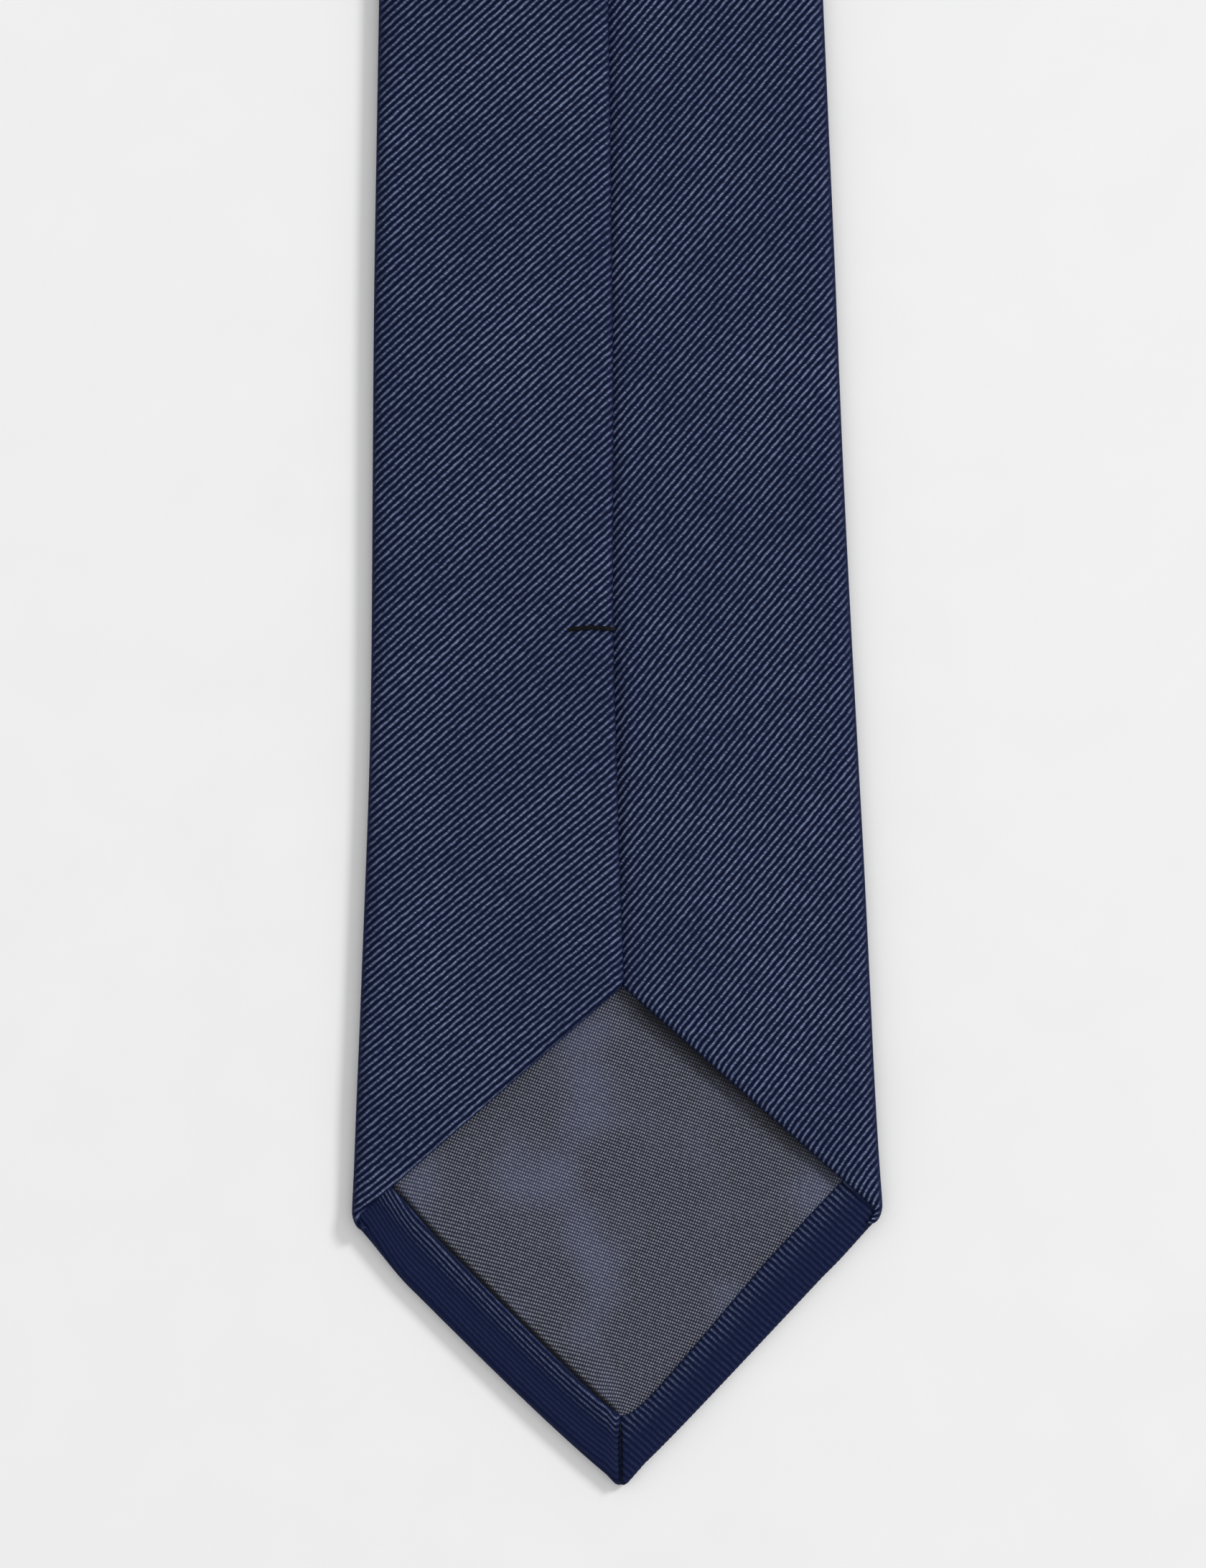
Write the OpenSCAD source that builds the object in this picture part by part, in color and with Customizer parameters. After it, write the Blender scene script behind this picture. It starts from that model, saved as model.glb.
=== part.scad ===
// Gentlemen's necktie in woven silk, lying face down and folded in half at the back of the neck.
// Every blade is drawn with its tip at the origin, its face on z = 0 and the neck towards +Y,
// and is then put in its place.
// Cloth is drawn as flat layers: face, interlining, tipping with the hem around it, right panel, left panel.

/* [Length] */
// Length of the tie opened out, from tip to tip
tie_length = 1470; // [1440:5:1500]
// Distance from the front tip to the fold at the back of the neck
fold_y = 875; // [865:5:890]
// Width of the band that lies under the collar
neck_w = 38; // [34:1:42]

/* [Front blade] */
// Width across the front blade's two corners
front_w = 80; // [76:1:84]
// Height of those corners above the tip
front_corner_y = 41.5; // [40:0.5:44]
// Width of the cloth turned in along the tip's edges
front_hem_w = 6.8; // [5:0.1:8]
// Height above the tip at which the two back panels come apart
front_mouth_y = 75.5; // [72:0.5:80]
// Height of the bar tack above the tip
front_tack_y = 129; // [124:0.5:134]
// Height to which the tipping reaches under the panels
front_tipping_y = 112; // [105:1:118]

/* [Tail blade] */
// Width across the tail blade's two corners
tail_w = 45; // [42:1:46]
// Height of those corners above the tip
tail_corner_y = 23; // [21:0.5:25]
// Width of the cloth turned in along the tip's edges
tail_hem_w = 5; // [4:0.1:6]
// Height above the tip at which the two back panels come apart
tail_mouth_y = 44; // [40:0.5:48]
// Height of the bar tack above the tip
tail_tack_y = 78; // [74:0.5:84]
// Height to which the tipping reaches under the panels
tail_tipping_y = 68; // [60:1:72]

/* [Cloth] */
// Thickness of the silk shell
silk = 0.45; // [0.4:0.01:0.45]
// Thickness of the wool interlining
wool = 1.35; // [1.2:0.05:1.35]
// Thickness of the tipping
lining = 0.25; // [0.2:0.01:0.25]
// How far the centre seam lies to the right of the middle
seam_x = 1.2; // [0.8:0.1:1.6]
// Width of the right panel hidden under the left one
seam_under = 6; // [4:0.5:8]

/* [Keeper loop] */
// Height of the keeper's lower edge above the front tip
keeper_y = 240; // [236:1:244]
// Length of the keeper along the tie
keeper_l = 12; // [10:0.5:13]
// Clear width inside the keeper
keeper_inside_w = 52; // [50:1:53]
// Clear height inside the keeper, over the left panel
keeper_inside_h = 4.7; // [4.6:0.1:5.2]

/* [Care label] */
// Width of the label
label_w = 20; // [16:1:22]
// Length of the label
label_l = 17; // [14:0.5:18]

/* [Hidden] */
$fn = 24;

// Room between two layers of one body, and between layers of bodies that move apart
layer_gap = 0.05;
moving_gap = 0.3;
// Room between the two halves of the folded tie
fold_gap = 1.0;
// Half of the slit between the two halves' ends at the fold
end_slit = 0.2;

// Levels of the layers above the face
wool_z = silk + layer_gap;
lining_z = wool_z + wool + layer_gap;
hem_z = lining_z;
right_z = hem_z + silk + moving_gap;
left_z = right_z + silk + moving_gap + layer_gap;
top_z = left_z + silk;

// Where the tail's tip lies above the front tip, and the height of the folded stack
tail_tip_y = 2 * fold_y - tie_length;
tail_len = tie_length - fold_y;
stack_h = 2 * top_z + fold_gap;
// Half the length of the folded tie: the origin lies under its middle
middle_y = (fold_y - end_slit) / 2;

// The blades narrow towards the neck: height above the tip, and the share of the extra width left there
FRONT_TAPER = [[front_corner_y, 1], [100, 0.893], [150, 0.784], [225, 0.683], [400, 0.45],
    [600, 0.2], [760, 0.03], [fold_y, 0]];
TAIL_TAPER = [[tail_corner_y, 1], [220, 0.62], [420, 0.2], [tail_len, 0]];

// Half widths at those heights
function sides(taper, w) = [for (s = taper) [s[0], neck_w / 2 + s[1] * (w - neck_w) / 2]];
front_side = sides(FRONT_TAPER, front_w);
tail_side = sides(TAIL_TAPER, tail_w);

// The mouth flaps of the front blade turn about a line from near the corner to the bar tack
hinge_inset = 0.8;
hinge_x0 = front_w / 2 - hinge_inset;
hinge_rise = front_tack_y - front_corner_y;
// Sideways room that leaves moving_gap square to that line
hinge_room = moving_gap * sqrt(1 + pow(hinge_x0 / hinge_rise, 2));
// The left flap ends this far under the tack
flap_top_y = front_tack_y - 3;
function hinge_x(y) = hinge_x0 * (front_tack_y - y) / hinge_rise;
function hinge_y(x) = front_tack_y - x * hinge_rise / hinge_x0;

// The bias seams that join the neck piece to the two blades, as heights above each tip
front_join_y = 560;
tail_join_y = 390;
join_angle = 42;
join_slit = 0.15;
thread_r = 0.12;

// ---- outlines ----

function reversed(v) = [for (i = [len(v) - 1:-1:0]) v[i]];
function mirrored(v) = [for (q = reversed(v)) [-q[0], q[1]]];

// The right-hand side edge between two heights, moved in by d
function side_edge(p, d, y0, y1) = concat(
    [[lookup(y0, p) - d, y0]],
    [for (s = p) if (s[0] > y0 && s[0] < y1) [s[1] - d, s[0]]],
    [[lookup(y1, p) - d, y1]]);

// The tip and the right-hand corner, moved in by d
function tip_angle(p) = atan2(p[0][0], p[0][1]);
function inset_tip(p, d) = [0, d / cos(tip_angle(p))];
function inset_corner(p, d) = [p[0][1] - d, (p[0][1] - d) * tan(tip_angle(p)) + d / cos(tip_angle(p))];

// The whole outline up to y1, moved in by d
function outline(p, d, y1) = let(
    c = inset_corner(p, d),
    right = concat([c], side_edge(p, d, c[1] + 1, y1)))
    concat([inset_tip(p, d)], right, mirrored(right));

// ---- building blocks ----

module layer(z, t, points) translate([0, 0, z]) linear_extrude(t) polygon(points);

module both_sides() {
    children();
    mirror([1, 0, 0]) children();
}

module in_front_place() translate([0, -middle_y, 0]) children();

module in_tail_place() translate([0, tail_tip_y - middle_y, stack_h]) rotate([0, 180, 0]) children();

// A straight thread from a to b
module thread(a, b, r = thread_r) {
    d = b - a;
    translate(a) rotate([0, acos(d[2] / norm(d)), atan2(d[1], d[0])]) cylinder(r = r, h = norm(d));
}

// Stitches laid end to end from a to b, each taking the given share of its pitch
module stitch_row(a, b, pitch, share = 0.6, r = thread_r) {
    n = floor(norm(b - a) / pitch);
    step = (b - a) / n;
    for (i = [0:n - 1]) thread(a + step * i, a + step * (i + share), r);
}

// Face, folded side edges and turned-in hem of one blade, up to y1
module blade_wrap(p, hem_w, y1) {
    layer(0, silk, outline(p, 0, y1));
    both_sides() {
        layer(0, hem_z + silk, tip_strip(p, silk));
        layer(hem_z, silk, tip_strip(p, hem_w));
    }
    layer(0, right_z + silk, side_wall(p, y1));
    layer(0, top_z, mirrored(side_wall(p, y1)));
}

// A strip of width w along the right-hand edge of the tip
function tip_strip(p, w) = [inset_tip(p, 0), inset_corner(p, 0), inset_corner(p, w), inset_tip(p, w)];

// The folded side edge seen from above, a strip one cloth wide
function side_wall(p, y1) = concat(side_edge(p, 0, p[0][0], y1), reversed(side_edge(p, silk, p[0][0], y1)));

// Cuts the shell at a bias seam and keeps the blade's side or the neck's side of it
module blade_side_of_join(y) translate([0, y - join_slit, 0]) rotate([0, 0, join_angle])
    translate([-tie_length, -tie_length, -1]) cube([2 * tie_length, tie_length, top_z + 2]);

module neck_side_of_join(y) translate([0, y + join_slit, 0]) rotate([0, 0, join_angle])
    translate([-tie_length, 0, -1]) cube([2 * tie_length, tie_length, top_z + 2]);

// ---- front blade ----

// Right panel above the flap's hinge line, with the strip hidden under the left panel
function front_right_panel(y1) = concat(
    side_edge(front_side, 0, front_corner_y + silk, y1),
    [[-seam_under, y1], [-seam_under, front_tack_y + 2], [seam_x, front_tack_y + 2],
    [seam_x, hinge_y(seam_x - hinge_room)], [hinge_x0 + hinge_room, front_corner_y + silk]]);

// Left panel above its hinge line, drawn on the right
function front_left_panel(y1) = concat(
    side_edge(front_side, 0, front_corner_y + silk, y1),
    [[-seam_x, y1], [-seam_x, flap_top_y + moving_gap],
    [hinge_x(flap_top_y + moving_gap) + hinge_room, flap_top_y + moving_gap],
    [hinge_x0 + hinge_room, front_corner_y + silk]]);

module front_tube() {
    end_y = fold_y - end_slit;
    blade_wrap(front_side, front_hem_w, end_y);
    layer(right_z, silk, front_right_panel(end_y));
    layer(left_z, silk, mirrored(front_left_panel(end_y)));
}

module front_shell() {
    color("#232b4d") in_front_place() intersection() {
        front_tube();
        blade_side_of_join(front_join_y);
    }
}

module neck_shell_front() {
    color("#2a3358") in_front_place() intersection() {
        front_tube();
        neck_side_of_join(front_join_y);
    }
}

// Corner of both flaps next to the shell's corner, on the mouth edge
flap_corner_step = 1.1;
mouth_run = [-hinge_x0, front_mouth_y - front_corner_y];
flap_corner = [hinge_x0, front_corner_y] + flap_corner_step * mouth_run / norm(mouth_run);

module left_flap() {
    color("#262f52") in_front_place() layer(left_z, silk, mirrored([flap_corner,
        [hinge_x(flap_top_y) - hinge_room, flap_top_y], [-seam_x, flap_top_y], [-seam_x, front_mouth_y]]));
}

module right_flap() {
    edge_x = seam_x + moving_gap;
    color("#262f52") in_front_place() layer(right_z, silk, [flap_corner,
        [edge_x, hinge_y(edge_x + hinge_room)], [edge_x, front_mouth_y]]);
}

// The interlining is cut to the blade's finished shape and lies inside the folded edges
module interlining(p, y1) layer(wool_z, wool, outline(p, silk + layer_gap, y1));

module front_interlining() {
    color("#d9d2c2") in_front_place() interlining(front_side, fold_y - end_slit);
}

// The tipping fills the diamond inside the hem and runs on under the panels
module tipping(p, hem_w, y1) layer(lining_z, lining, outline(p, hem_w + layer_gap, y1));

module front_tipping() {
    color("#4d4f5b") in_front_place() tipping(front_side, front_hem_w, front_tipping_y);
}

// Three strands side by side over the left panel, taken down the seam's edge to the right panel
module bar_tack(y, length) {
    strand_r = 0.14;
    drop_x = seam_x + strand_r + layer_gap;
    bar_z = top_z + strand_r + layer_gap;
    for (i = [-1:1]) {
        strand_y = y + 2.1 * strand_r * i;
        thread([drop_x - length, strand_y, bar_z], [drop_x, strand_y, bar_z], strand_r);
        thread([drop_x, strand_y, right_z + silk + layer_gap], [drop_x, strand_y, bar_z], strand_r);
    }
}

module front_bar_tack() {
    color("#15151a") in_front_place() bar_tack(front_tack_y, 6.5);
}

// Small stitches across the mitre where the two hems meet at the tip
module mitre_stitches(p, hem_w) {
    top = inset_tip(p, hem_w)[1];
    z = hem_z + silk + thread_r + 0.01;
    for (y = [1.5:1.5:top - 0.7]) thread([-0.5, y, z], [0.5, y + 0.5, z]);
}

module front_mitre_stitches() {
    color("#1b2038") in_front_place() mitre_stitches(front_side, front_hem_w);
}

// The row that joins the tipping to the hem's inner edge, laid on the hem
module tipping_stitches(p, hem_w) {
    z = hem_z + silk + thread_r + 0.01;
    row_d = hem_w - 2 * thread_r;
    a = inset_tip(p, row_d);
    c = inset_corner(p, row_d);
    both_sides() stitch_row([a[0] + 0.6, a[1] + 0.6, z], [c[0] - 1.5, c[1] - 1.5, z], 2.6);
}

module front_tipping_stitches() {
    color("#3a3c48") in_front_place() tipping_stitches(front_side, front_hem_w);
}

// The long loose thread that closes the centre seam, between the right panel and the left one
module slip_stitch(y0, y1) {
    z = right_z + silk + moving_gap / 2 + layer_gap / 2;
    stitch_row([seam_x - 3, y0, z], [seam_x - 3, y1, z], 26, 0.5);
}

module front_slip_stitch() {
    color("#1b2038") in_front_place() slip_stitch(front_tack_y + 5, fold_y - 3);
}

// Machine stitches of the bias seam, inside the shell between the interlining and the panels
module join_stitches(p, y) {
    z = (lining_z + right_z) / 2;
    reach = lookup(y, p) - 3;
    rise = reach * tan(join_angle);
    stitch_row([-reach, y - rise, z], [reach, y + rise, z], 2.8);
}

module front_join_stitches() {
    color("#1b2038") in_front_place() join_stitches(front_side, front_join_y);
}

// One quarter of the keeper's arch, from its foot at half width a to its top at height b
function arch_quarter(a, b) = [for (t = [0:7.5:90]) [a * pow(cos(t), 0.35), b * pow(sin(t), 0.5)]];

// The keeper's cross-section: a flat-topped arch with one foot on each panel
module keeper_section() {
    a = keeper_inside_w / 2;
    foot = 4.5;
    left_foot_z = top_z + layer_gap;
    right_foot_z = right_z + silk + layer_gap;
    inside_z = top_z + keeper_inside_h;
    half_arch(a, right_foot_z, inside_z, foot);
    mirror([1, 0]) half_arch(a, left_foot_z, inside_z, foot);
}

module half_arch(a, foot_z, inside_z, foot) {
    rise = inside_z - foot_z;
    translate([0, foot_z]) {
        polygon(concat(arch_quarter(a + silk, rise + silk), reversed(arch_quarter(a, rise))));
        translate([a, 0]) square([foot, silk]);
    }
}

module keeper_loop() {
    color("#232b4d") in_front_place() translate([0, keeper_y + keeper_l, 0]) rotate([90, 0, 0])
        linear_extrude(keeper_l) keeper_section();
}

// Two short threads over each of the keeper's feet
module keeper_stitches() {
    x = keeper_inside_w / 2 + 2.6;
    color("#15151a") in_front_place() for (y = [2, keeper_l - 4]) {
        right_z_top = right_z + 2 * silk + layer_gap + thread_r + 0.01;
        left_z_top = top_z + silk + layer_gap + thread_r + 0.01;
        thread([x, keeper_y + y, right_z_top], [x, keeper_y + y + 2, right_z_top]);
        thread([-x, keeper_y + y, left_z_top], [-x, keeper_y + y + 2, left_z_top]);
    }
}

// Plain satin label on the left panel, between the keeper and the tail's tip
label_t = 0.2;
label_x = -9 - label_w;
label_y = keeper_y + keeper_l + 5;

module care_label() {
    color("#e8e6e0") in_front_place() translate([label_x, label_y, top_z + layer_gap])
        cube([label_w, label_l, label_t]);
}

module label_stitches() {
    z = top_z + layer_gap + label_t + thread_r + 0.01;
    color("#e8e6e0") in_front_place() for (y = [label_y + 1, label_y + label_l - 1])
        stitch_row([label_x + 1, y, z], [label_x + label_w - 1, y, z], 2.5);
}

// ---- tail blade ----

// A panel whose lower edge runs from the corner up to the mouth
function tail_panel(inner_x, mouth_x) = concat(
    side_edge(tail_side, 0, tail_corner_y + silk, tail_len - end_slit),
    [[inner_x, tail_len - end_slit], [inner_x, tail_mouth_y], [mouth_x, tail_mouth_y]]);

module tail_tube() {
    blade_wrap(tail_side, tail_hem_w, tail_len - end_slit);
    layer(right_z, silk, tail_panel(-seam_under, seam_x));
    layer(left_z, silk, mirrored(tail_panel(-seam_x, -seam_x)));
}

module tail_shell() {
    color("#232b4d") in_tail_place() intersection() {
        tail_tube();
        blade_side_of_join(tail_join_y);
    }
}

module neck_shell_tail() {
    color("#2a3358") in_tail_place() intersection() {
        tail_tube();
        neck_side_of_join(tail_join_y);
    }
}

module tail_interlining() {
    color("#d9d2c2") in_tail_place() interlining(tail_side, tail_len - end_slit);
}

module tail_tipping() {
    color("#4d4f5b") in_tail_place() tipping(tail_side, tail_hem_w, tail_tipping_y);
}

module tail_bar_tack() {
    color("#15151a") in_tail_place() bar_tack(tail_tack_y, 5);
}

module tail_mitre_stitches() {
    color("#1b2038") in_tail_place() mitre_stitches(tail_side, tail_hem_w);
}

module tail_tipping_stitches() {
    color("#3a3c48") in_tail_place() tipping_stitches(tail_side, tail_hem_w);
}

module tail_slip_stitch() {
    color("#1b2038") in_tail_place() slip_stitch(tail_tack_y + 5, tail_len - 3);
}

module tail_join_stitches() {
    color("#1b2038") in_tail_place() join_stitches(tail_side, tail_join_y);
}

front_shell();
neck_shell_front();
front_interlining();
front_tipping();
front_bar_tack();
front_mitre_stitches();
front_tipping_stitches();
front_slip_stitch();
front_join_stitches();
keeper_loop();
keeper_stitches();
care_label();
label_stitches();
left_flap();
right_flap();
tail_shell();
neck_shell_tail();
tail_interlining();
tail_tipping();
tail_bar_tack();
tail_mitre_stitches();
tail_tipping_stitches();
tail_slip_stitch();
tail_join_stitches();
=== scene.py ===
import math
import bmesh
import bpy
import numpy as np
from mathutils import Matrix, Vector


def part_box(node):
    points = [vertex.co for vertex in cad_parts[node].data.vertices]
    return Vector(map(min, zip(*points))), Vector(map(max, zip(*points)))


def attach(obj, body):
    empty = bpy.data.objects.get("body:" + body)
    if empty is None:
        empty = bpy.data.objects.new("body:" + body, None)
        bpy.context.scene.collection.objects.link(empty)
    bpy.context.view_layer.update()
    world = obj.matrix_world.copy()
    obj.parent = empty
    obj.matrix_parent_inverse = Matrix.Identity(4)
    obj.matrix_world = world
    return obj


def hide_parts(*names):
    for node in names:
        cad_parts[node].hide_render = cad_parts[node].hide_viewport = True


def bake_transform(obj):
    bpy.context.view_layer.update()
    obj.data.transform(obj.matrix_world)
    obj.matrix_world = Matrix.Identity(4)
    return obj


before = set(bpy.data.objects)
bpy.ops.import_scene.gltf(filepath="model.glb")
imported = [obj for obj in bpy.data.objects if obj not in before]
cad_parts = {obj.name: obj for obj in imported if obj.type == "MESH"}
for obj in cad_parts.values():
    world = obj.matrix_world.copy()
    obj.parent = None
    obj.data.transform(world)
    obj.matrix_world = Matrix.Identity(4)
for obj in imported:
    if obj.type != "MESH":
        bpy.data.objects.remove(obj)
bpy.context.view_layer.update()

# ---------------------------------------------------------------------------------------------
# FRONT BLADE'S SILK SHELL. One cloth of navy twill, cut on the bias, with its tip's edges turned
# in as a mitred hem and its sides folded round the interlining to the middle of the back.
# The two corners of the back that lift at the mouth are the flaps, made as pieces of their own.
# ---------------------------------------------------------------------------------------------

# Each blade is worked out in millimetres from its own tip, with its back up and its neck towards +Y,
# then laid in the frame. The tail half is turned over on top of the front half.
FRONT_TIP_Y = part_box("front_shell")[0][1]
TAIL_TIP_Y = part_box("tail_shell")[0][1]
STACK_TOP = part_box("tail_shell")[1][2]
CLOTH = 0.4
FACE_Z = 0.02 + CLOTH / 2
# upper is the side whose panel lies on top at the seam, and half is half the width at the corners. The
# taper gives half the width at heights up the blade.
FRONT = dict(upper=-1, corner_y=41.5, half=40.0, hem=6.8, mouth_y=75.5, tack_y=129.0, lining_y=112.0,
             join_y=560.0, end_y=874.8,
             taper=[(41.5, 40.0), (55, 39.2), (83, 38.0), (116, 36.5), (150, 35.5), (180, 34.8),
                    (225, 33.4), (400, 28.4), (600, 23.2), (760, 19.6), (875, 19.0)])
TAIL = dict(upper=1, corner_y=23.0, half=22.5, hem=5.0, mouth_y=44.0, tack_y=78.0, lining_y=68.0,
            join_y=390.0, end_y=594.8,
            taper=[(23, 22.5), (220, 21.2), (420, 19.7), (595, 19.0)])


def in_front(points):
    """Millimetres from the front tip to metres in the frame."""
    return np.asarray(points, float) / 1000 + [0, FRONT_TIP_Y, 0]


def in_tail(points):
    """The same for the tail blade, which is turned over about its length."""
    return np.asarray(points, float) / 1000 * [-1, 1, -1] + [0, TAIL_TIP_Y, STACK_TOP]


def smooth(start, end, x):
    """0 before start, 1 after end, with a soft turn at both."""
    t = np.clip((np.asarray(x, float) - start) / (end - start), 0, 1)
    return t * t * (3 - 2 * t)


def half_width(b, y):
    """Half the width at the middle of the cloth, averaged over 24 mm so that the side has no kinks."""
    heights, widths = zip(*b["taper"])
    y = np.asarray(y, float)
    plain = np.interp(y, heights, widths)
    soft = np.interp(y[..., None] + np.linspace(-12, 12, 7), heights, widths).mean(-1)
    return plain + (soft - plain) * smooth(b["corner_y"], b["corner_y"] + 20, y) - CLOTH / 2


def seam_x(b, y):
    """Where the upper panel's edge lies: just past the middle, and pulled back by the bar tack."""
    pulled = 0.55 * np.exp(-((y - b["tack_y"]) / 26) ** 2)
    return -b["upper"] * (0.95 - pulled + 0.3 * (1 - smooth(b["mouth_y"], b["mouth_y"] + 20, y)))


# The rounded lower end of a side fold: how far it draws in, how high it is, and how far below the corner.
NOSE_IN = 1.5
NOSE_HIGH = 3.0
NOSE_DROP = 2.3


def side_fold(b, side, y):
    """Points on a side fold in plan, with the outward normal and the tangent there. The fold's lower end
    is rounded off, and the front blade sways a little to one side above it."""
    width = half_width(b, y)
    below = np.clip(1 - (y - b["corner_y"] + NOSE_DROP) / NOSE_HIGH, 0, 1)
    rounded = NOSE_IN * (1 - np.sqrt(1 - below ** 2))
    slope = (half_width(b, y + 2) - half_width(b, np.maximum(y - 2, b["corner_y"]))) / 4
    tangent = np.stack([side * slope, np.ones_like(y)], -1)
    tangent /= np.linalg.norm(tangent, axis=-1, keepdims=True)
    normal = np.stack([side * tangent[:, 1], -side * tangent[:, 0]], -1)
    sway = 0.4 * np.exp(-((y - 108) / 38) ** 2) * smooth(50, 72, y) * (b is FRONT)
    return np.stack([side * (width - rounded) + sway, y], -1), normal, tangent


def ripple(x, y, seed):
    """Soft unevenness of lying cloth, a few centimetres long."""
    return (np.sin(0.115 * x + 0.071 * y + seed) + np.sin(0.052 * x - 0.093 * y + 2.1 * seed)
            + 0.6 * np.sin(0.19 * x - 0.031 * y + 3.7 * seed)) / 2.6


# Heights of the back panels: at the side fold, on the upper panel's edge, and the lower panel's dip there.
SIDE_TOP = 3.05
SEAM_TOP = 4.05
SEAM_GROOVE = 0.85


def panel_height(b, side, x, y):
    """Middle of the silk over one back panel. The upper panel climbs over the lower one at the seam, the
    lower one dips there, and both puff up a little along the open mouth."""
    upper = side == b["upper"]
    half = half_width(b, y)
    inward = half - side * x
    z = SIDE_TOP - 0.5 * (1 - smooth(b["corner_y"], b["corner_y"] + 18, y)) + 0.1 * smooth(1, 10, inward)
    if upper:
        z = z + (SEAM_TOP - SIDE_TOP - 0.1) * smooth(0.25 * half, half, inward)
        tack = np.exp(-((x - side * 2.5) / 5.5) ** 2 - ((y - b["tack_y"]) / 3.0) ** 2)
        z = z - 0.35 * tack
    else:
        z = z - SEAM_GROOVE * (1 - smooth(-0.2, 3.4, side * x))
    rise = (b["mouth_y"] - b["corner_y"]) / b["half"]
    above = np.clip((y - b["mouth_y"] + rise * np.abs(x)) / math.hypot(1, rise), 0, None)
    bulge = np.sin(math.pi * np.clip(np.abs(x) / b["half"], 0, 1)) * np.exp(-above / (0.35 * b["half"]))
    z = z + (0.35 if upper else 1.0) * bulge
    return z + 0.09 * ripple(x, y, 1.0 + side) * smooth(1, 14, inward)


def hinge_x(b, y):
    """Plan distance of a flap's hinge line from the middle: from the corner to the bar tack."""
    return (b["half"] - 0.8) * np.clip((b["tack_y"] - y) / (b["tack_y"] - b["corner_y"]), 0, 1)


# Steps across the wrap: round the side fold, over the panel to the hinge line and on over the flap, round
# the inner edge and back under.
ROLL_STEPS = 10
PANEL_STEPS = 20
FLAP_STEPS = 18
TURN_STEPS = 8
UNDER_STEPS = 3
HINGE_COLUMN = ROLL_STEPS + PANEL_STEPS
# The side fold's roll comes near this width on a wide panel, and is narrower where the panel runs out.
WIDEST_ROLL = 3.6


def unrolled(points, start, normal, tangent):
    """Where a grid's points lie in the flat cloth: as far out from the start as their way along the row."""
    steps = np.linalg.norm(np.diff(points, axis=1), axis=2)
    run = np.concatenate([np.zeros((len(points), 1)), np.cumsum(steps, 1)], 1)
    along = ((points[:, :, :2] - start[:, None]) * tangent[:, None]).sum(-1)
    return start[:, None] + normal[:, None] * run[..., None] + tangent[:, None] * along[..., None]


def side_grid(b, side, ys, skew):
    """One side of the wrap as a grid, from the bottom of the side fold round it, over the back panel, round
    its inner edge and a little way back under. Returns the points and their places in the flat cloth."""
    upper = side == b["upper"]
    fold, normal, tangent = side_fold(b, side, ys)
    reach = b["half"] - 1.1
    open_share = np.clip((b["mouth_y"] - ys) / (b["mouth_y"] - b["corner_y"]), 0, 1)
    seam = seam_x(b, ys)
    inner = side * open_share * reach + seam * (1 - open_share)
    if not upper:
        tucked = -side * (0.3 + 5.7 * smooth(b["tack_y"] + 1, b["tack_y"] + 7, ys))
        inner = inner + (tucked - seam) * smooth(b["mouth_y"], b["mouth_y"] + 3, ys)
    inner = side * np.minimum(side * inner, side * fold[:, 0] - 0.8)
    row = np.abs(inner - fold[:, 0])
    roll = WIDEST_ROLL * row / (row + 5)
    start = fold - normal * roll[:, None]
    top = panel_height(b, side, start[:, 0], ys)
    slant = math.atan2(b["mouth_y"] - b["corner_y"], reach)
    at_mouth = 1 - smooth(b["mouth_y"] - 2, b["mouth_y"] + 2, ys)
    out = np.stack([-side * (1 + (math.sin(slant) - 1) * at_mouth), -math.cos(slant) * at_mouth], -1)
    out /= np.linalg.norm(out, axis=1, keepdims=True)
    share = row / (row + 1.5)
    # How wide and how deep the inner edge rolls under, at the seam and along the mouth.
    seam_roll = (1.8, 0.62) if upper else (0.3, 0.2)
    mouth_roll = (0.6, 0.34) if upper else (0.95, 0.4)
    wide = (seam_roll[0] + (mouth_roll[0] - seam_roll[0]) * at_mouth) * share
    deep = (seam_roll[1] + (mouth_roll[1] - seam_roll[1]) * at_mouth) * share
    last = np.stack([inner, ys], -1) - out * wide[:, None]
    hinge = (side * start[:, 0] - hinge_x(b, ys)) / (side * (start - last)[:, 0])
    split = start + (last - start) * np.clip(hinge, 0.02, 0.98)[:, None]

    columns = []
    for k in range(ROLL_STEPS + 1):
        turn = math.pi * (k / ROLL_STEPS - 0.5)
        plan = start + normal * (roll * math.cos(turn))[:, None]
        columns.append(np.column_stack([plan, FACE_Z + (top - FACE_Z) * (1 + math.sin(turn)) / 2]))
    for a, z, steps in ((start, split, PANEL_STEPS), (split, last, FLAP_STEPS)):
        for k in range(1, steps + 1):
            plan = a + (z - a) * k / steps
            columns.append(np.column_stack([plan, panel_height(b, side, plan[:, 0], plan[:, 1])]))
    rim = columns[-1][:, 2]
    for k in range(1, TURN_STEPS + 1):
        turn = math.pi * (0.5 - k / TURN_STEPS)
        plan = last + out * (wide * math.cos(turn))[:, None]
        columns.append(np.column_stack([plan, rim - deep + deep * math.sin(turn)]))
    for k in range(1, UNDER_STEPS + 1):
        back = np.minimum(4.0, 0.3 * row) * k / UNDER_STEPS
        columns.append(np.column_stack([last - out * back[:, None], rim - 2 * deep]))
    points = np.stack(columns, 1)
    cloth = unrolled(points, start, normal, tangent)
    lean = points[:, :, 0] * skew[:, None]
    points[:, :, 1] += lean
    cloth[:, :, 1] += lean
    return points, cloth


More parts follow.
